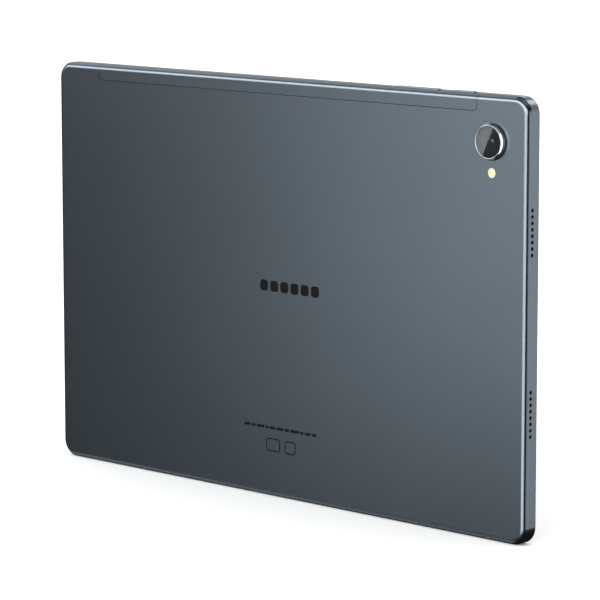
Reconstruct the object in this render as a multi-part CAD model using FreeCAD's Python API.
"""Tablet computer, 10.5 inch class: every physical piece as its own solid, one STEP file per piece.

Row frame, millimetres: +X to the right when the tablet is seen from behind, +Y towards the user of the
screen, +Z up. The tablet stands on its long lower edge. The origin is the middle of the bottom of its
bounding box. Layout is written in (x, v, d): v is height above the middle of the body, and d is depth
from the flat of the back, growing towards the screen.
"""

import FreeCAD, Part
import math
import os

Vector = FreeCAD.Vector

# ---- driving dimensions -------------------------------------------------------------------------------

BODY_W = 246.4  # width of the metal body
BODY_H = 161.2  # height of the metal body
COVER_DEPTH = 6.4  # from the flat of the back to the rim of the metal body
TOTAL_DEPTH = 7.4  # from the flat of the back to the front of the glass
CORNER_R = 6.5
BACK_EDGE_R = 2.1  # round between the back and the side walls
RIM_EDGE_R = 0.5
BACK_T = 0.9  # thickness of the metal back
WALL_T = 1.2  # thickness of the metal side walls
GAP = 0.1  # general clearance between neighbouring pieces

CAMERA_RISE = 2.2  # how far the camera ring stands proud of the back
CAMERA_X, CAMERA_V = 106.3, 63.95
FLASH_V = 52.75

ANTENNA_HALF_W = 99.2  # half the width of the radio window along the top edge
ANTENNA_DROP = 6.15  # how far the window reaches down the back
ANTENNA_R = 1.8
ANTENNA_SEAM = 0.2

KEY_D = 3.1  # depth of the keys' centre line
KEY_W = 2.5
KEY_PROUD = 0.4
VOLUME_X, VOLUME_L = 68.7, 21.4
POWER_X, POWER_L = 91.05, 10.5

HOLE_D = 2.62  # depth of the speaker holes
HOLE_R = 0.7
HOLE_PITCH = 2.29
HOLES = 8
SPEAKER_V = 32.6

USB_D = 3.1
USB_W, USB_H, USB_L = 8.94, 3.2, 7.3
USB_SKIN = 0.25

TRAY_V = 62.5  # middle of the card tray's face
TRAY_FACE_W, TRAY_FACE_H = 16.0, 2.4
TRAY_D = 2.6
PIN_V, PIN_D = 69.2, 2.15  # eject pin hole
PIN_R = 0.55

SCREEN_W, SCREEN_H = 226.3, 141.5  # lit area, 10.5 inches across
PANEL_W, PANEL_H = 231.0, 146.0

BOARD_D, BOARD_T = 2.7, 0.8  # rear face and thickness of the circuit boards
PLATE_D, PLATE_T = 3.9, 0.4  # mid plate
BACKLIGHT_D = 4.3
LCD_D = 5.6
CLEAR_GLUE_D = 6.55
MASK_D = 6.65
GLASS_D = 6.7
FRAME_TOP_D = 7.0
LEDGE_D = 6.5

BACK_Y = CAMERA_RISE - (TOTAL_DEPTH + CAMERA_RISE) / 2
MIDDLE_Z = BODY_H / 2
INNER_X = BODY_W / 2 - WALL_T  # inner face of the side walls
INNER_V = BODY_H / 2 - WALL_T  # inner face of the top and bottom walls
ROOT_FOLDER = "parts"

ALONG_X = Vector(1, 0, 0)
ALONG_Y = Vector(0, 1, 0)
ALONG_Z = Vector(0, 0, 1)


# ---- helpers ------------------------------------------------------------------------------------------


def at(x, v, d):
    """The row-frame point for layout coordinates."""
    return Vector(x, BACK_Y + d, MIDDLE_Z + v)


def slab(x, v, d):
    """A box, each argument a (low, high) pair."""
    return Part.makeBox(x[1] - x[0], d[1] - d[0], v[1] - v[0], at(x[0], v[0], d[0]))


def around(middle, length):
    """The (low, high) pair of a length about a middle."""
    return (middle - length / 2, middle + length / 2)


def edges_along(shape, axis, pick=None):
    """Straight edges parallel to an axis, optionally only those whose middle passes a test."""
    found = []
    for edge in shape.Edges:
        if not isinstance(edge.Curve, (Part.Line, Part.LineSegment)):
            continue
        a, b = edge.Vertexes[0].Point, edge.Vertexes[-1].Point
        along = (b - a).normalize()
        if abs(abs(along.dot(axis)) - 1) > TOUCH:
            continue
        if pick is None or pick((a + b) * 0.5):
            found.append(edge)
    return found


def rounded_slab(width, height, radius, d, x=0.0, v=0.0):
    """A slab whose four corners in the plane of the back are rounded."""
    box = slab(around(x, width), around(v, height), d)
    return box.makeFillet(radius, edges_along(box, ALONG_Y))


def inset_slab(inset, d):
    """A slab that follows the body's outline, moved in by an inset."""
    return rounded_slab(BODY_W - 2 * inset, BODY_H - 2 * inset, CORNER_R - inset, d)


def disc(x, v, radius, d):
    """A cylinder whose axis runs through the thickness of the tablet."""
    return Part.makeCylinder(radius, d[1] - d[0], at(x, v, d[0]), ALONG_Y)


def round_bar(x, v, d, length, height, along):
    """A bar with round ends: a flat oval of a length and height in the wall's plane, thick along an axis."""
    low, high = along
    radius = height / 2
    box = slab((low, high), around(v, length - height), around(d, height))
    ends = [
        Part.makeCylinder(radius, high - low, at(low, v + side * (length - height) / 2, d), ALONG_X)
        for side in (-1, 1)
    ]
    return box.fuse(ends).removeSplitter()


def top_bar(x, d, length, width, v):
    """A bar with round ends that runs along X in the top wall, from one height to another."""
    box = slab(around(x, length - width), v, around(d, width))
    ends = [
        Part.makeCylinder(width / 2, v[1] - v[0], at(x + side * (length - width) / 2, v[0], d), ALONG_Z)
        for side in (-1, 1)
    ]
    return box.fuse(ends).removeSplitter()


def turned(x, v, profile):
    """A solid of revolution about the thickness axis, from (radius, d) points."""
    points = [at(x + r, v, d) for r, d in profile]
    wire = Part.makePolygon(points + points[:1])
    return Part.Face(wire).revolve(at(x, v, 0), ALONG_Y, 360)


def export(name, *shapes):
    """Writes one node. Several solids go into one file as a group."""
    solids = [solid for shape in shapes for solid in shape.Solids]
    whole = solids[0] if len(solids) == 1 else Part.makeCompound(solids)
    bad = [s for s in solids if not s.isValid() or s.Volume <= 0]
    if bad:
        raise RuntimeError(f"{name} has a solid that is not valid")
    whole.exportStep(os.path.join(ROOT_FOLDER, name + ".step"))
    print(f"{name:22s} {len(solids):3d} solids {whole.Volume / 1000:9.4f} cm3")


# ---- casing -------------------------------------------------------------------------------------------


def body_solid():
    """The outer shape of the metal body, before it is hollowed."""
    block = inset_slab(0, (0, COVER_DEPTH))
    back = [e for e in block.Edges if all(abs(p.Point.y - BACK_Y) < TOUCH for p in e.Vertexes)]
    block = block.makeFillet(BACK_EDGE_R, back)
    rim_y = BACK_Y + COVER_DEPTH
    rim = [e for e in block.Edges if all(abs(p.Point.y - rim_y) < TOUCH for p in e.Vertexes)]
    return block.makeFillet(RIM_EDGE_R, rim)


def speaker_holes(side):
    """The drilled rows of one short side, +1 right or -1 left."""
    holes = []
    for v in (SPEAKER_V, -SPEAKER_V):
        for i in range(HOLES):
            hole_v = v + (i - (HOLES - 1) / 2) * HOLE_PITCH
            start = at(side * BODY_W / 2 - WALL_DRILL / 2, hole_v, HOLE_D)
            holes.append(Part.makeCylinder(HOLE_R, WALL_DRILL, start, ALONG_X))
    return holes


BEYOND = 1.0  # how far a cutting shape runs past what it cuts
TOUCH = 1e-6  # lengths below this count as none
HOLE_FIT = 0.05  # radial clearance of a turned piece in its hole
SLOT_FIT = 0.3  # how much longer and wider a slot is than what stands in it

CLIP_L, CLIP_D, CLIP_H = 8.0, 5.3, 0.6
CLIP_BITE = 0.25
CLIP_ROOT = 0.4  # how far a hook reaches back into the frame
CLIP_LONG_X = (-80, -40, 0, 40, 80)
CLIP_SHORT_V = (-55, 14, 45)
KEY_CLIP = 80  # no hook here: the keys are in the way
MIC_X, MIC_V, MIC_D, MIC_R = -118.5, 9.5, 2.2, 0.4
WALL_DRILL = 4.0  # length of a drilled hole's cutter, half of it on each side of the outer face

WINDOW_LIP = 2.0  # how far the radio window's flange reaches behind the metal
WINDOW_LIP_T = 0.6
WINDOW_RIB = 1.0  # width of the flange round its hollow


def clip_places():
    """Middles of the snap hooks as (x, v, along), where along is the axis the hook runs on."""
    long_side = [(x, s * INNER_V, "x") for x in CLIP_LONG_X for s in (-1, 1)]
    short_side = [(s * INNER_X, v, "v") for v in CLIP_SHORT_V for s in (-1, 1)]
    return [p for p in long_side + short_side if p[:2] != (KEY_CLIP, INNER_V)]


def clip_bars(length, height, inner, outer):
    """Bars at every hook, from an inner to an outer distance beyond the wall's inner face."""
    bars = []
    for x, v, along in clip_places():
        if along == "x":
            sign = math.copysign(1, v)
            reach = sorted((v + sign * inner, v + sign * outer))
            bars.append(slab(around(x, length), reach, around(CLIP_D, height)))
        else:
            sign = math.copysign(1, x)
            reach = sorted((x + sign * inner, x + sign * outer))
            bars.append(slab(reach, around(v, length), around(CLIP_D, height)))
    return bars


def antenna_region(grow):
    """Everything behind the radio window's seam, grown on its three free sides."""
    low_v = BODY_H / 2 - ANTENNA_DROP - grow
    half = ANTENNA_HALF_W + grow
    box = slab((-half, half), (low_v, BODY_H / 2 + BEYOND), (-BEYOND, COVER_DEPTH + BEYOND))
    low_z = MIDDLE_Z + low_v
    corners = edges_along(box, ALONG_Y, lambda p: abs(p.z - low_z) < TOUCH)
    return box.makeFillet(ANTENNA_R + grow, corners)


def make_casing():
    """Metal rear cover and the plastic radio window let into its top edge."""
    body = body_solid()
    cavity = inset_slab(WALL_T, (BACK_T, COVER_DEPTH + BEYOND))
    shell = body.cut(cavity)

    through_back = (-BEYOND, BACK_T + BEYOND)
    cover = shell.cut(antenna_region(ANTENNA_SEAM / 2))
    cover = cover.cut(disc(CAMERA_X, CAMERA_V, RING_SPIGOT_R + HOLE_FIT, through_back))
    cover = cover.cut(disc(CAMERA_X, FLASH_V, FLASH_R + HOLE_FIT, through_back))
    cover = cover.cut(speaker_holes(1) + speaker_holes(-1))
    left = (-BODY_W / 2 - BEYOND, -INNER_X + BEYOND)
    cover = cover.cut(round_bar(0, 0, USB_D, USB_W + SLOT_FIT, USB_H + SLOT_FIT, left))
    tray_slot = round_bar(0, TRAY_V, TRAY_D, TRAY_FACE_W + 2 * GAP, TRAY_FACE_H + 2 * GAP, left)
    cover = cover.cut(tray_slot)
    mic_start = at(-(BODY_W + WALL_DRILL) / 2, MIC_V, MIC_D)
    cover = cover.cut(Part.makeCylinder(MIC_R, WALL_DRILL, mic_start, ALONG_X))
    grooves = clip_bars(CLIP_L + 4 * GAP, CLIP_H + 3 * GAP, -CLIP_ROOT - GAP, CLIP_BITE + GAP)
    cover = cover.cut(grooves)
    export("rear_cover", cover)

    window = shell.common(antenna_region(-ANTENNA_SEAM / 2))
    low_v = BODY_H / 2 - ANTENNA_DROP
    reach = ANTENNA_HALF_W + WINDOW_LIP
    inner_reach = ANTENNA_HALF_W - WINDOW_RIB
    lip_depth = (BACK_T, BACK_T + WINDOW_LIP_T)
    flange = slab((-reach, reach), (low_v - WINDOW_LIP, INNER_V), lip_depth)
    hollow_v = (low_v + WINDOW_RIB, INNER_V + BEYOND)
    hollow = slab((-inner_reach, inner_reach), hollow_v, (BACK_T, BACK_T + BEYOND))
    window = window.fuse(flange.cut(hollow)).removeSplitter()
    through = (INNER_V - BEYOND, BODY_H / 2 + BEYOND)
    for x, length in ((VOLUME_X, VOLUME_L), (POWER_X, POWER_L)):
        window = window.cut(top_bar(x, KEY_D, length + SLOT_FIT, KEY_W + SLOT_FIT, through))
    window = window.cut([g for g in grooves if g.BoundBox.ZMax > MIDDLE_Z + INNER_V])
    export("antenna_cover", window)
    return body


# ---- rear camera and flash ----------------------------------------------------------------------------

RING_BASE_R, RING_WALL_R, RING_RIM_R, RING_SPIGOT_R = 6.75, 6.56, 6.2, 6.0
RING_WALL_D, RING_BASE_D = -1.1, -0.35  # where the ring's wall and its foot end
RING_BORE_R = 4.9
RING_FOOT_D = 1.3  # how deep the ring reaches into the tablet
RIM_CHAMFER, BORE_CHAMFER = 0.2, 0.12
LENS_GLASS_R = 5.65
LENS_GLASS_D = (-2.05, -1.25)
FUNNEL_D = (-1.2, -0.3)
FUNNEL_MOUTH_R, FUNNEL_BORE_R = 4.5, 1.9
FUNNEL_STEPS = [(3.6, -1.0), (3.6, -0.9), (2.6, -0.7), (2.6, -0.6), (FUNNEL_BORE_R, -0.45)]
BARREL_R, BARREL_D = 3.3, (0.3, 2.3)
BARREL_BORE_R = 1.2
LENS_R, LENS_D = 1.65, (0.4, 0.9)
LENS_EDGE_R = 0.35
HOUSING_SIDE, HOUSING_CORNER_R = 9.6, 0.6
HOUSING_NOSE_R = 4.6
HOUSING_D = (0.5, 1.4, 3.3)  # front of its nose, front of its block, back of its block
BARREL_ROOM = 0.2
HOUSING_FLOOR_D, HOUSING_WINDOW_R = 2.7, 2.4
SENSOR_D = (3.3, 3.6)
DIE_W, DIE_H, DIE_T = 3.4, 3.0, 0.3
TAIL_END_X, TAIL_W, TAIL_T = 88.0, 5.0, 0.1
FLASH_R, FLASH_FLANGE_R = 1.8, 2.4
FLASH_WINDOW_D = (0, 0.9, 1.4)  # outer face, front and back of its flange
LED_SIDE, LED_DIE_SIDE = 2.8, 1.6
LED_D = (2.0, 2.2)  # front of its die, front of its base


def make_camera():
    """Ring, glass, black funnel, focusing barrel, actuator housing, sensor board and flash."""
    x, v = CAMERA_X, CAMERA_V
    seat_r = LENS_GLASS_R + HOLE_FIT
    ring = turned(
        x,
        v,
        [
            (RING_BORE_R, RING_FOOT_D),
            (RING_BORE_R, LENS_GLASS_D[1]),
            (seat_r, LENS_GLASS_D[1]),
            (seat_r, -CAMERA_RISE + BORE_CHAMFER),
            (seat_r + BORE_CHAMFER, -CAMERA_RISE),
            (RING_RIM_R - RIM_CHAMFER, -CAMERA_RISE),
            (RING_RIM_R, -CAMERA_RISE + RIM_CHAMFER),
            (RING_WALL_R, RING_WALL_D),
            (RING_BASE_R, RING_BASE_D),
            (RING_BASE_R, 0),
            (RING_SPIGOT_R, 0),
            (RING_SPIGOT_R, RING_FOOT_D),
        ],
    )
    export("camera_ring", ring)
    glass = disc(x, v, LENS_GLASS_R, LENS_GLASS_D)
    export("camera_glass", glass)

    outer_r = RING_BORE_R - HOLE_FIT
    outside = [(outer_r, FUNNEL_D[0]), (outer_r, FUNNEL_D[1]), (FUNNEL_BORE_R, FUNNEL_D[1])]
    funnel = turned(x, v, outside + FUNNEL_STEPS[::-1] + [(FUNNEL_MOUTH_R, FUNNEL_D[0])])
    export("camera_funnel", funnel)

    seat = LENS_R + HOLE_FIT
    front, back = BARREL_D
    barrel = turned(
        x,
        v,
        [
            (BARREL_R, front),
            (BARREL_R, back),
            (BARREL_BORE_R, back),
            (BARREL_BORE_R, LENS_D[1]),
            (seat, LENS_D[1]),
            (seat, front),
        ],
    )
    export("focus_barrel", barrel)
    lens = disc(x, v, LENS_R, LENS_D)
    rim = [e for e in lens.Edges if is_circle_at(e, LENS_D[0])]
    export("front_element", lens.makeFillet(LENS_EDGE_R, rim))

    nose = disc(x, v, HOUSING_NOSE_R, HOUSING_D[:2])
    block = rounded_slab(HOUSING_SIDE, HOUSING_SIDE, HOUSING_CORNER_R, HOUSING_D[1:], x, v)
    housing = nose.fuse(block).removeSplitter()
    housing = housing.cut(disc(x, v, BARREL_R + BARREL_ROOM, (-BEYOND, HOUSING_FLOOR_D)))
    housing = housing.cut(disc(x, v, HOUSING_WINDOW_R, (HOUSING_FLOOR_D - BEYOND, SENSOR_D[0] + BEYOND)))
    export("focus_housing", housing)
    sensor = slab(around(x, HOUSING_SIDE), around(v, HOUSING_SIDE), SENSOR_D)
    die = slab(around(x, DIE_W), around(v, DIE_H), (SENSOR_D[0] - DIE_T, SENSOR_D[0]))
    tail = slab((TAIL_END_X, x), around(v, TAIL_W), (SENSOR_D[1] - TAIL_T, SENSOR_D[1]))
    export("camera_sensor", sensor.fuse([die, tail]).removeSplitter())

    flange = disc(x, FLASH_V, FLASH_FLANGE_R, FLASH_WINDOW_D[1:])
    window = disc(x, FLASH_V, FLASH_R, FLASH_WINDOW_D[:2]).fuse(flange).removeSplitter()
    export("flash_window", window)
    led = slab(around(x, LED_SIDE), around(FLASH_V, LED_SIDE), (LED_D[1], BOARD_D))
    die = slab(around(x, LED_DIE_SIDE), around(FLASH_V, LED_DIE_SIDE), LED_D)
    export("flash_led", led.fuse(die).removeSplitter())


def is_circle_at(edge, d):
    """True for an edge that lies flat at depth d."""
    box = edge.BoundBox
    return box.YLength < TOUCH and abs(box.YMin - BACK_Y - d) < TOUCH


# ---- keys on the top edge -----------------------------------------------------------------------------

FLANGE_V = (78.7, 79.35)
ROCKER_FLANGE_V = (78.7, 79.1)
NUB_V = (78.1, 78.7)
NUB_R = 0.7
VOLUME_NUB = 8.0  # each switch's distance from the rocker's middle
PIVOT_V = 78.45
PIVOT_R = 0.35
DOME_V = (77.6, 77.83)  # as low as a fully pressed key leaves them
FLEX_V = (77.45, 77.6)
BRACKET_V = (77.05, 77.45)
KEY_ZONE = (56.0, 99.0)
KEY_EDGE_R = 0.3
KEY_FLANGE_REACH = 2.0  # how much longer a flange is than its cap
DOME_R, DOME_TOP_R = 1.2, 0.7
NECK_W = 0.5  # thin web between the rocker and its pivot bead
FLEX_X, FLEX_D = (58.0, 97.0), (1.6, 4.2)
FLEX_TAIL_X, FLEX_TAIL_END_V, FLEX_TAIL_T = (62.0, 66.0), 69.5, 0.15
FLEX_SLOT_W, FLEX_SLOT_D = 1.4, (1.9, 3.3)
BRACKET_X, BRACKET_D = (57.0, 98.0), (1.9, 3.9)
POST_W, POST_D = 1.0, (2.0, 3.2)
BRACKET_FEET_X = (60.0, 80.0, 95.0)
FOOT_W, FOOT_END_V, FOOT_T = 5.0, 75.0, 0.35


def key_cap(x, length):
    """A cap with round ends and softened outer edges that stands in its slot in the top wall."""
    top_v = BODY_H / 2 + KEY_PROUD
    cap = top_bar(x, KEY_D, length, KEY_W, (FLANGE_V[0], top_v))
    top_z = MIDDLE_Z + top_v
    rim = [e for e in cap.Edges if e.BoundBox.ZLength < TOUCH and abs(e.BoundBox.ZMin - top_z) < TOUCH]
    return cap.makeFillet(KEY_EDGE_R, rim)


def nub(x):
    """The stub under a key that presses a switch."""
    return Part.makeCylinder(NUB_R, NUB_V[1] - NUB_V[0], at(x, NUB_V[0], KEY_D), ALONG_Z)


def dome(x):
    """A snap dome, drawn pressed flat, so that the stub never cuts into it."""
    return Part.makeCone(DOME_R, DOME_TOP_R, DOME_V[1] - DOME_V[0], at(x, DOME_V[0], KEY_D), ALONG_Z)


def make_keys():
    """Power key, volume rocker, their snap domes, flex and bracket."""
    depth = around(KEY_D, KEY_W)
    flange = slab(around(POWER_X, POWER_L + KEY_FLANGE_REACH), FLANGE_V, depth)
    power = key_cap(POWER_X, POWER_L).fuse([flange, nub(POWER_X)])
    export("power_key", power.removeSplitter())

    nubs = [nub(VOLUME_X - VOLUME_NUB), nub(VOLUME_X + VOLUME_NUB)]
    bead = Part.makeCylinder(PIVOT_R, KEY_W, at(VOLUME_X, PIVOT_V, depth[0]), ALONG_Y)
    neck = slab(around(VOLUME_X, NECK_W), (PIVOT_V, ROCKER_FLANGE_V[0]), depth)
    flange = slab(around(VOLUME_X, VOLUME_L + KEY_FLANGE_REACH), ROCKER_FLANGE_V, depth)
    rocker = key_cap(VOLUME_X, VOLUME_L).fuse([flange, bead, neck] + nubs)
    export("volume_rocker", rocker.removeSplitter())

    export("power_dome", dome(POWER_X))
    export("volume_domes", dome(VOLUME_X - VOLUME_NUB), dome(VOLUME_X + VOLUME_NUB))

    strip = slab(FLEX_X, FLEX_V, FLEX_D)
    tail = slab(FLEX_TAIL_X, (FLEX_TAIL_END_V, FLEX_V[1]), (FLEX_D[0], FLEX_D[0] + FLEX_TAIL_T))
    slot = slab(around(VOLUME_X, FLEX_SLOT_W), (FLEX_V[0] - BEYOND, FLEX_V[1] + BEYOND), FLEX_SLOT_D)
    export("key_flex", strip.fuse(tail).removeSplitter().cut(slot))

    bracket = slab(BRACKET_X, BRACKET_V, BRACKET_D)
    post = slab(around(VOLUME_X, POST_W), (BRACKET_V[1], PIVOT_V - PIVOT_R - HOLE_FIT), POST_D)
    foot_depth = (PLATE_D - FOOT_T, PLATE_D)
    feet = [slab(around(x, FOOT_W), (FOOT_END_V, BRACKET_V[0]), foot_depth) for x in BRACKET_FEET_X]
    export("key_bracket", bracket.fuse([post] + feet).removeSplitter())


# ---- card tray and its ejector ------------------------------------------------------------------------

TRAY_X = (-122.0, -93.6)
TRAY_BODY_V = (55.3, 67.3)
TRAY_BODY_D = (1.8, 2.5)
CAGE_X = (-121.0, -88.6)
CAGE_V = (54.7, 70.6)
CAGE_D = (1.4, BOARD_D)
ROD_X = (-121.7, -91.95)
LEVER_X = -91.5
LEVER_PIVOT_V = 64.0
LEVER_R = 0.9
LEVER_W, LEVER_V, LEVER_D = 0.8, (56.5, 69.6), (2.0, 2.4)
LEVER_BORE_R = 0.5
LEVER_PIN_R, LEVER_PIN_D = 0.45, (1.55, 2.6)
POCKETS = [((-120.3, -108.0), 8.8), ((-107.0, -94.4), 11.0)]  # each card pocket's x span and width
POCKET_FLOOR_D = 2.0
POCKET_LEDGE = 1.0  # width of the ledge that a card rests on
CAGE_SKIN_W, CAGE_INSIDE_D = 0.2, (1.55, 2.6)
PAD_X = (-118.0, -115.4, -112.8, -105.0, -102.4, -99.8)
PAD_V, PAD_W, PAD_H, PAD_T = 2.5, 0.8, 1.6, 0.05
ROD_W, ROD_D = 0.8, (1.9, 2.5)
ROD_HEAD_L, ROD_HEAD_W, ROD_HEAD_D = 1.2, 1.6, (1.75, 2.55)


def make_card_tray(body):
    """Tray with two card pockets, its metal face, the socket cage and the pin ejector."""
    low_x = -BODY_W / 2 - BEYOND
    face = round_bar(0, TRAY_V, TRAY_D, TRAY_FACE_W, TRAY_FACE_H, (low_x, TRAY_X[0])).common(body)
    face = face.cut(Part.makeCylinder(PIN_R, WALL_DRILL, at(low_x, PIN_V, PIN_D), ALONG_X))
    export("tray_face", face)

    middle = sum(TRAY_BODY_V) / 2
    tray = slab(TRAY_X, TRAY_BODY_V, TRAY_BODY_D)
    for (x0, x1), width in POCKETS:
        tray = tray.cut(slab((x0, x1), around(middle, width), (POCKET_FLOOR_D, BOARD_D)))
        opening_v = around(middle, width - 2 * POCKET_LEDGE)
        tray = tray.cut(slab((x0 + POCKET_LEDGE, x1 - POCKET_LEDGE), opening_v, (BEYOND, BOARD_D)))
    export("card_tray", tray)

    cage = slab(CAGE_X, CAGE_V, CAGE_D)
    inside_v = (CAGE_V[0] + CAGE_SKIN_W, CAGE_V[1] - CAGE_SKIN_W)
    cage = cage.cut(slab((CAGE_X[0] - BEYOND, CAGE_X[1] - CAGE_SKIN_W), inside_v, CAGE_INSIDE_D))
    export("card_socket", cage)
    pad_depth = (CAGE_INSIDE_D[1] - PAD_T, CAGE_INSIDE_D[1])
    pads = []
    for x in PAD_X:
        for side in (-1, 1):
            pads.append(slab(around(x, PAD_W), around(middle + side * PAD_V, PAD_H), pad_depth))
    export("card_contacts", *pads)

    rod = slab(ROD_X, around(PIN_V, ROD_W), ROD_D)
    head = slab((ROD_X[0], ROD_X[0] + ROD_HEAD_L), around(PIN_V, ROD_HEAD_W), ROD_HEAD_D)
    export("eject_rod", rod.fuse(head).removeSplitter())
    export("lever_pin", disc(LEVER_X, LEVER_PIVOT_V, LEVER_PIN_R, LEVER_PIN_D))
    lever = slab(around(LEVER_X, LEVER_W), LEVER_V, LEVER_D)
    lever = lever.fuse(disc(LEVER_X, LEVER_PIVOT_V, LEVER_R, LEVER_D)).removeSplitter()
    lever = lever.cut(disc(LEVER_X, LEVER_PIVOT_V, LEVER_BORE_R, (LEVER_D[0] - BEYOND, LEVER_D[1] + BEYOND)))
    export("eject_lever", lever)


# ---- circuit boards -----------------------------------------------------------------------------------

BOARD_X, BOARD_V = (-100.0, 97.0), (40.0, 74.0)
BOARD_EXTENSIONS = [  # (x span, v span): under the aerials, beside the card tray, and under the flash
    ((-100.0, 52.0), (74.0, 76.3)),
    ((-121.0, -100.0), (53.0, 74.0)),
    ((97.0, 110.0), (50.5, 57.5)),
]
USB_BOARD_X, USB_BOARD_V = (-121.5, -103.8), (-13.0, 13.0)
USB_NOTCH_X = (-122.0, -115.4)
BOARD_SCREWS = [(-96.0, 43.5), (92.0, 43.5), (-82.0, 72.0), (31.0, 72.0), (94.0, 72.0), (66.0, 43.5)]
USB_SCREWS = [(-107.0, -10.0), (-107.0, 10.0)]
SCREW_R = 0.8
SCREW_HOLE_R = 0.9
SCREW_HEAD_R, SCREW_HEAD_T = 1.5, 0.5
SHIELD_D, SHIELD_SKIN = 1.3, 0.2
AERIAL_X = (-75.0, -20.0, 25.0)
AERIAL_W, AERIAL_FOOT_V, AERIAL_POST_V = 1.6, (75.6, 76.2), (75.6, 75.9)
AERIAL_FOOT_T = 0.2
AERIAL_FILM_X = ((-92.0, -58.0), (-40.0, -4.0), (8.0, 42.0))
AERIAL_FILM_V, FILM_T = (75.6, 79.2), 0.1
HEAT_SHEET_X, HEAT_SHEET_V = (-64.0, 62.0), (42.0, 70.0)
MIC_W, MIC_H, MIC_T = 3.0, 2.4, 1.0
USB_FLEX_X = (-106.0, -102.9, -98.9)  # start, where it turns up, far side
USB_FLEX_HALF_W, USB_FLEX_END_V = 2.0, 46.0
SHIELDS = [(-20.0, 25.0, 45.0, 68.0), (38.0, 60.0, 46.0, 67.0), (-62.0, -30.0, 45.0, 67.0)]
CHIPS = [
    (-8.0, 56.5, 14.0, 14.0, 1.0),
    (12.0, 56.5, 11.0, 10.0, 0.8),
    (-46.0, 56.5, 13.0, 11.5, 0.9),
    (49.0, 61.0, 7.0, 7.0, 0.7),
    (49.0, 51.5, 6.0, 6.0, 0.7),
    (-56.0, 49.0, 5.0, 5.0, 0.7),
    (74.0, 55.0, 6.0, 5.0, 0.8),
]
CONNECTORS = [
    (0.0, 42.2, 9.0, 2.6, 1.0),
    (64.0, 70.7, 5.0, 2.2, 0.9),
    (-75.0, 43.0, 8.0, 2.6, 0.9),
]


def on_board(x, v, width, height, thick):
    """A component that stands on the rear face of a board."""
    return slab(around(x, width), around(v, height), (BOARD_D - thick, BOARD_D))


def make_boards():
    """Main board with its parts and shields, the USB board, and the screws that hold boards and speakers."""
    depth = (BOARD_D, BOARD_D + BOARD_T)
    through_board = (BOARD_D - BEYOND, depth[1] + BEYOND)
    board = slab(BOARD_X, BOARD_V, depth)
    board = board.fuse([slab(x, v, depth) for x, v in BOARD_EXTENSIONS]).removeSplitter()
    board = board.cut([disc(x, v, SCREW_HOLE_R, through_board) for x, v in BOARD_SCREWS])
    export("main_board", board)

    cans = []
    for x0, x1, v0, v1 in SHIELDS:
        can = slab((x0, x1), (v0, v1), (SHIELD_D, BOARD_D))
        inside_x = (x0 + SHIELD_SKIN, x1 - SHIELD_SKIN)
        inside_v = (v0 + SHIELD_SKIN, v1 - SHIELD_SKIN)
        cans.append(can.cut(slab(inside_x, inside_v, (SHIELD_D + SHIELD_SKIN, BOARD_D + BEYOND))))
    export("board_shields", *cans)
    export("board_chips", *[on_board(*chip) for chip in CHIPS])
    export("board_connectors", *[on_board(*connector) for connector in CONNECTORS])
    springs = []
    for x in AERIAL_X:
        foot = slab(around(x, AERIAL_W), AERIAL_FOOT_V, (BOARD_D - AERIAL_FOOT_T, BOARD_D))
        post = slab(around(x, AERIAL_W), AERIAL_POST_V, (BACK_T + FILM_T, BOARD_D - AERIAL_FOOT_T))
        springs.append(foot.fuse(post).removeSplitter())
    export("antenna_springs", *springs)
    film_depth = (BACK_T, BACK_T + FILM_T)
    export("antenna_flexes", *[slab(x, AERIAL_FILM_V, film_depth) for x in AERIAL_FILM_X])
    export("heat_sheet", slab(HEAT_SHEET_X, HEAT_SHEET_V, film_depth))

    usb = slab(USB_BOARD_X, USB_BOARD_V, depth)
    usb = usb.cut(slab(USB_NOTCH_X, around(0, USB_W + 5 * GAP), through_board))
    usb = usb.cut([disc(x, v, SCREW_HOLE_R, through_board) for x, v in USB_SCREWS])
    export("usb_board", usb)
    export("microphone", on_board(MIC_X, MIC_V, MIC_W, MIC_H, MIC_T))
    under = (depth[1], depth[1] + FILM_T)
    start_x, turn_x, end_x = USB_FLEX_X
    flex = slab((start_x, end_x), around(0, 2 * USB_FLEX_HALF_W), under)
    flex = flex.fuse(slab((turn_x, end_x), (USB_FLEX_HALF_W, USB_FLEX_END_V), under))
    export("usb_flex", flex.removeSplitter())

    screws = []
    for x, v in BOARD_SCREWS + USB_SCREWS + speaker_ears():
        head = disc(x, v, SCREW_HEAD_R, (BOARD_D - SCREW_HEAD_T, BOARD_D))
        screws.append(head.fuse(disc(x, v, SCREW_R, (BOARD_D, PLATE_D + PLATE_T))).removeSplitter())
    export("plate_screws", *screws)


USB_RECESS = 0.2  # how far the mouth lies inside the outer face
USB_BASE_L = 1.4
TONGUE_RECESS, TONGUE_W, TONGUE_T = 1.0, 6.7, 0.7
CONTACTS, CONTACT_PITCH, CONTACT_W, CONTACT_T = 12, 0.5, 0.25, 0.05
CONTACT_X = (1.4, 4.6)  # from the mouth


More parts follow.
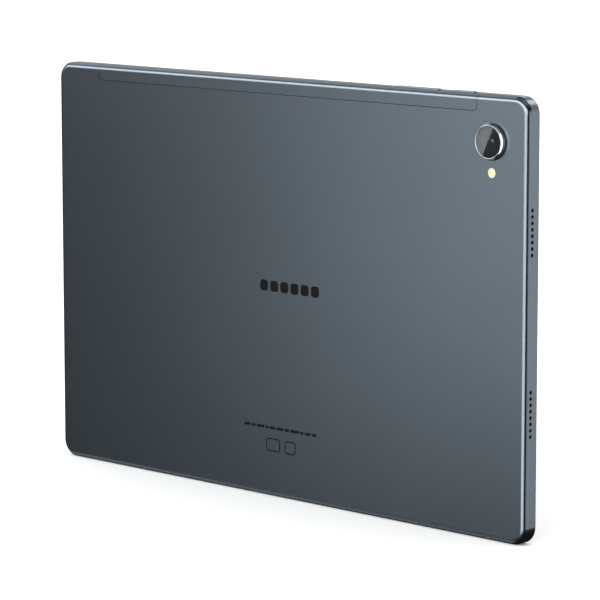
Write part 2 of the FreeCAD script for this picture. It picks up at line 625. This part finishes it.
def make_usb_port():
    """Receptacle: metal shell, plastic tongue with its base, and the contacts."""
    x0 = -BODY_W / 2 + USB_RECESS
    x1 = x0 + USB_L
    inner_w, inner_h = USB_W - 2 * USB_SKIN, USB_H - 2 * USB_SKIN
    shell = round_bar(0, 0, USB_D, USB_W, USB_H, (x0, x1))
    shell = shell.cut(round_bar(0, 0, USB_D, inner_w, inner_h, (x0 - BEYOND, x1 + BEYOND)))
    export("usb_shell", shell)
    base = round_bar(0, 0, USB_D, inner_w - GAP, inner_h - GAP, (x1 - USB_BASE_L, x1))
    tongue = slab((x0 + TONGUE_RECESS, x1 - USB_BASE_L), around(0, TONGUE_W), around(USB_D, TONGUE_T))
    export("usb_tongue", base.fuse(tongue).removeSplitter())
    contacts = []
    contact_x = (x0 + CONTACT_X[0], x0 + CONTACT_X[1])
    for i in range(CONTACTS):
        v = (i - (CONTACTS - 1) / 2) * CONTACT_PITCH
        for side in (-1, 1):
            middle = USB_D + side * (TONGUE_T + CONTACT_T) / 2
            contacts.append(slab(contact_x, around(v, CONTACT_W), around(middle, CONTACT_T)))
    export("usb_contacts", *contacts)


# ---- battery and speakers -----------------------------------------------------------------------------

CELL_X, CELL_V, CELL_D = (0.7, 97.7), (-74.0, 35.0), 1.2  # the right-hand cell: its twin is its mirror image
CELL_CORNER_R = 0.8
TAPE_X, TAPE_V, TAPE_T = (20.0, 80.0), (-66.0, 26.0), 0.1
BATTERY_BOARD_L, BATTERY_BOARD_V, BATTERY_BOARD_D = 60.0, (35.3, 39.3), (2.4, 3.2)
LEAD_W, LEAD_V, LEAD_D, LEAD_T = 8.0, (37.0, 43.0), 1.6, 0.1


def make_battery():
    """Two flat cells, the protection board above them, and the short lead to the main board."""
    tape_face = PLATE_D - TAPE_T
    cells, tapes = [], []
    for side in (-1, 1):
        cell = slab(sorted(side * x for x in CELL_X), CELL_V, (CELL_D, tape_face))
        cells.append(cell.makeFillet(CELL_CORNER_R, edges_along(cell, ALONG_Y)))
        tapes.append(slab(sorted(side * x for x in TAPE_X), TAPE_V, (tape_face, PLATE_D)))
    export("battery_cells", *cells)
    export("battery_tape", *tapes)
    export("battery_board", slab(around(0, BATTERY_BOARD_L), BATTERY_BOARD_V, BATTERY_BOARD_D))
    strip = slab(around(0, LEAD_W), LEAD_V, (LEAD_D, LEAD_D + LEAD_T))
    drop = slab(around(0, LEAD_W), (LEAD_V[0], LEAD_V[0] + LEAD_T), (LEAD_D, BATTERY_BOARD_D[0]))
    export("battery_lead", strip.fuse(drop).removeSplitter())


BOX_X = (104.0, 121.5)
BOX_HALF_V = 17.0
BOX_D = (1.0, 3.7)
BOX_SKIN = 0.5
CONE_D = (1.85, 2.0)
CONE_X = 112.7
CONE_W, CONE_H = 8.2, 19.0
COIL_W, COIL_H, COIL_END_D = 7.0, 17.0, 2.7
COIL_T = 0.5
MAGNET_W, MAGNET_H, MAGNET_D = 5.0, 15.0, 2.3
SOLID_W = 4.0  # solid strip of each box, which holds its ears
EAR_INSET, EAR_REACH = 1.9, 12.0
EAR_POCKET_R = 1.7
MOUTH_H, MOUTH_D = 17.4, (1.9, 3.3)
MESH_H, MESH_D = 18.6, (1.6, 3.6)


def mirrored(shape, side):
    """A shape as drawn for the right side, or mirrored to the left."""
    return shape if side > 0 else shape.mirror(Vector(0, 0, 0), ALONG_X)


def make_speakers():
    """Four speaker boxes, each with a magnet, a moving cone with its coil, and a mesh behind the holes."""
    boxes, magnets, meshes = [], [], []
    for side, side_name in ((1, "right"), (-1, "left")):
        for v, height_name in ((SPEAKER_V, "upper"), (-SPEAKER_V, "lower")):
            span = around(v, 2 * BOX_HALF_V)
            box = slab(BOX_X, span, BOX_D)
            inner_v = (span[0] + BOX_SKIN, span[1] - BOX_SKIN)
            inner_d = (BOX_D[0] + BOX_SKIN, BOX_D[1] - BOX_SKIN)
            box = box.cut(slab((BOX_X[0] + SOLID_W, BOX_X[1] - BOX_SKIN), inner_v, inner_d))
            box = box.cut(slab((BOX_X[1] - BEYOND, BOX_X[1] + BEYOND), around(v, MOUTH_H), MOUTH_D))
            ears = [(BOX_X[0] + EAR_INSET, v + s * EAR_REACH) for s in (-1, 1)]
            box = box.cut([disc(x, e, SCREW_HOLE_R, (0, BOX_D[1] + BEYOND)) for x, e in ears])
            box = box.cut([disc(x, e, EAR_POCKET_R, (0, BOARD_D)) for x, e in ears])
            boxes.append(mirrored(box, side))
            magnet = slab(around(CONE_X, MAGNET_W), around(v, MAGNET_H), (MAGNET_D, inner_d[1]))
            magnets.append(mirrored(magnet, side))
            mesh = slab((BOX_X[1] + HOLE_FIT, INNER_X), around(v, MESH_H), MESH_D)
            meshes.append(mirrored(mesh, side))
            cone = slab(around(CONE_X, CONE_W), around(v, CONE_H), CONE_D)
            coil = slab(around(CONE_X, COIL_W), around(v, COIL_H), (CONE_D[1], COIL_END_D))
            bore_v = around(v, COIL_H - 2 * COIL_T)
            bore = slab(around(CONE_X, COIL_W - 2 * COIL_T), bore_v, (BEYOND, BOX_D[1]))
            moving = cone.fuse(coil.cut(bore)).removeSplitter()
            export(f"speaker_cone_{side_name}_{height_name}", mirrored(moving, side))
    export("speaker_boxes", *boxes)
    export("speaker_magnets", *magnets)
    export("speaker_meshes", *meshes)


def speaker_ears():
    """Screw places of the speaker boxes, as (x, v)."""
    return [
        (side * (BOX_X[0] + EAR_INSET), v + s * EAR_REACH)
        for side in (-1, 1)
        for v in (SPEAKER_V, -SPEAKER_V)
        for s in (-1, 1)
    ]


# ---- screen side --------------------------------------------------------------------------------------

FLANGE_INSET = 0.9
FRAME_INSET = 1.3
PLATE_INSET = 1.5
GLASS_INSET = 1.6
SELFIE_V = 76.25
SELFIE_SIDE = 5.4
PANEL_FLEX_X = (22.0, 50.0)
PANEL_FLEX_V, PANEL_FLEX_D, PANEL_FLEX_T = (66.0, 74.7), 5.8, 0.1
PANEL_FLEX_HOLE_R = 2.1
FLEX_WINDOW_X, FLEX_WINDOW_V = (21.0, 51.0), (73.4, 75.2)
KEY_WINDOW_V = (77.3, 79.4)
USB_WINDOW_X = (-122.5, -115.0)
USB_ROOM = 1.4  # how much wider the opening over the charging socket is
POST_R = 2.0
LIP_BITE = 0.05  # how far the frame's lip overlaps its ring, so that they fuse
FRAME_ROOM = 0.2  # clearance round the panel
KEY_ROOM_D, USB_ROOM_D, FLEX_ROOM_D, SELFIE_ROOM_D = 4.8, 5.0, 6.3, 5.3  # how deep the frame is cut for each
INK_INSET = 1.8
INK_HOLE_R = 1.5
GLASS_EDGE_R = 0.3
TAPE_INSET, TAPE_WIDTH = 2.2, 3.3
SELFIE_D = (3.6, 5.2, 6.4)  # back of its block, front of its block, front of its nose
SELFIE_NOSE_R, SELFIE_HOLE_R = 2.5, 2.7
SELFIE_LENS_R, SELFIE_LENS_D = 1.05, (6.05, 6.35)
SELFIE_WELL_R, SELFIE_WELL_D = 1.1, 6.0


def make_screen():
    """Mid plate, plastic frame, backlight, panel, clear glue, black border, glass and their tape."""
    through_plate = (PLATE_D - BEYOND, PLATE_D + PLATE_T + BEYOND)
    usb_room_v = around(0, USB_W + USB_ROOM)
    plate = inset_slab(PLATE_INSET, (PLATE_D, PLATE_D + PLATE_T))
    plate = plate.cut(slab(KEY_ZONE, (KEY_WINDOW_V[0], BODY_H / 2), through_plate))
    plate = plate.cut(slab((USB_WINDOW_X[0] - BEYOND, USB_WINDOW_X[1]), usb_room_v, through_plate))
    plate = plate.cut(slab(FLEX_WINDOW_X, FLEX_WINDOW_V, through_plate))
    selfie_side = SELFIE_SIDE + 2 * FRAME_ROOM
    selfie_room = (around(0, selfie_side), around(SELFIE_V, selfie_side))
    plate = plate.cut(slab(*selfie_room, through_plate))
    holes = BOARD_SCREWS + USB_SCREWS + speaker_ears()
    posts = [disc(x, v, POST_R, (BOARD_D + BOARD_T, PLATE_D)) for x, v in BOARD_SCREWS + USB_SCREWS]
    plate = plate.fuse(posts).removeSplitter()
    plate = plate.cut([disc(x, v, SCREW_R + HOLE_FIT, through_plate) for x, v in holes])
    export("mid_plate", plate)

    below, above = BACKLIGHT_D - BEYOND, FRAME_TOP_D + BEYOND
    ring = inset_slab(FRAME_INSET, (BACKLIGHT_D, COVER_DEPTH + LIP_BITE))
    ring = ring.fuse(inset_slab(FLANGE_INSET, (COVER_DEPTH, FRAME_TOP_D))).removeSplitter()
    panel_room = (around(0, PANEL_W + 2 * FRAME_ROOM), around(0, PANEL_H + 2 * FRAME_ROOM))
    ring = ring.cut(slab(*panel_room, (below, above)))
    ring = ring.cut(inset_slab(GLASS_INSET - GAP, (LEDGE_D, above)))
    ring = ring.cut(slab(KEY_ZONE, KEY_WINDOW_V, (below, KEY_ROOM_D)))
    ring = ring.cut(slab(USB_WINDOW_X, usb_room_v, (below, USB_ROOM_D)))
    ring = ring.cut(slab(FLEX_WINDOW_X, (PANEL_H / 2 - BEYOND, FLEX_WINDOW_V[1]), (below, FLEX_ROOM_D)))
    ring = ring.cut(disc(0, SELFIE_V, SELFIE_HOLE_R, (below, above)))
    ring = ring.cut(slab(*selfie_room, (below, SELFIE_ROOM_D)))
    hooks = clip_bars(CLIP_L, CLIP_H, -CLIP_ROOT, CLIP_BITE)
    export("front_frame", ring.fuse(hooks).removeSplitter())

    panel_area = (around(0, PANEL_W), around(0, PANEL_H))
    export("backlight", slab(*panel_area, (BACKLIGHT_D, LCD_D)))
    export("screen_panel", slab(*panel_area, (LCD_D, CLEAR_GLUE_D)))
    export("clear_glue", slab(*panel_area, (CLEAR_GLUE_D, MASK_D)))
    mask = inset_slab(INK_INSET, (MASK_D, GLASS_D))
    mask = mask.cut(slab(around(0, SCREEN_W), around(0, SCREEN_H), (LEDGE_D, above)))
    export("border_ink", mask.cut(disc(0, SELFIE_V, INK_HOLE_R, (LEDGE_D, above))))
    glass = inset_slab(GLASS_INSET, (GLASS_D, TOTAL_DEPTH))
    front_y = BACK_Y + TOTAL_DEPTH
    rim = [e for e in glass.Edges if all(abs(p.Point.y - front_y) < TOUCH for p in e.Vertexes)]
    export("cover_glass", glass.makeFillet(GLASS_EDGE_R, rim))
    inside = 2 * (TAPE_INSET + TAPE_WIDTH)
    tape = inset_slab(TAPE_INSET, (LEDGE_D, MASK_D))
    tape = tape.cut(slab(around(0, BODY_W - inside), around(0, BODY_H - inside), (below, above)))
    export("glass_tape", tape.cut(disc(0, SELFIE_V, SELFIE_HOLE_R, (below, above))))

    low, high = BOARD_D + BOARD_T, PANEL_FLEX_D
    far_v = PANEL_FLEX_V[1]
    flex = slab(PANEL_FLEX_X, PANEL_FLEX_V, (low, low + PANEL_FLEX_T))
    flex = flex.fuse(slab(PANEL_FLEX_X, (far_v - PANEL_FLEX_T, far_v), (low, high)))
    flex = flex.fuse(slab(PANEL_FLEX_X, (PANEL_H / 2, far_v), (high - PANEL_FLEX_T, high)))
    screw_x, screw_v = next(p for p in BOARD_SCREWS if PANEL_FLEX_X[0] < p[0] < PANEL_FLEX_X[1])
    flex = flex.cut(disc(screw_x, screw_v, PANEL_FLEX_HOLE_R, (low - BEYOND, low + BEYOND)))
    export("panel_flex", flex.removeSplitter())

    body = slab(around(0, SELFIE_SIDE), around(SELFIE_V, SELFIE_SIDE), SELFIE_D[:2])
    body = body.fuse(disc(0, SELFIE_V, SELFIE_NOSE_R, SELFIE_D[1:]))
    body = body.removeSplitter().cut(disc(0, SELFIE_V, SELFIE_WELL_R, (SELFIE_WELL_D, above)))
    export("selfie_camera", body)
    export("selfie_lens", disc(0, SELFIE_V, SELFIE_LENS_R, SELFIE_LENS_D))


def main():
    """Builds every piece in turn."""
    os.makedirs(ROOT_FOLDER, exist_ok=True)
    body = make_casing()
    make_camera()
    make_keys()
    make_card_tray(body)
    make_boards()
    make_usb_port()
    make_battery()
    make_speakers()
    make_screen()


main()
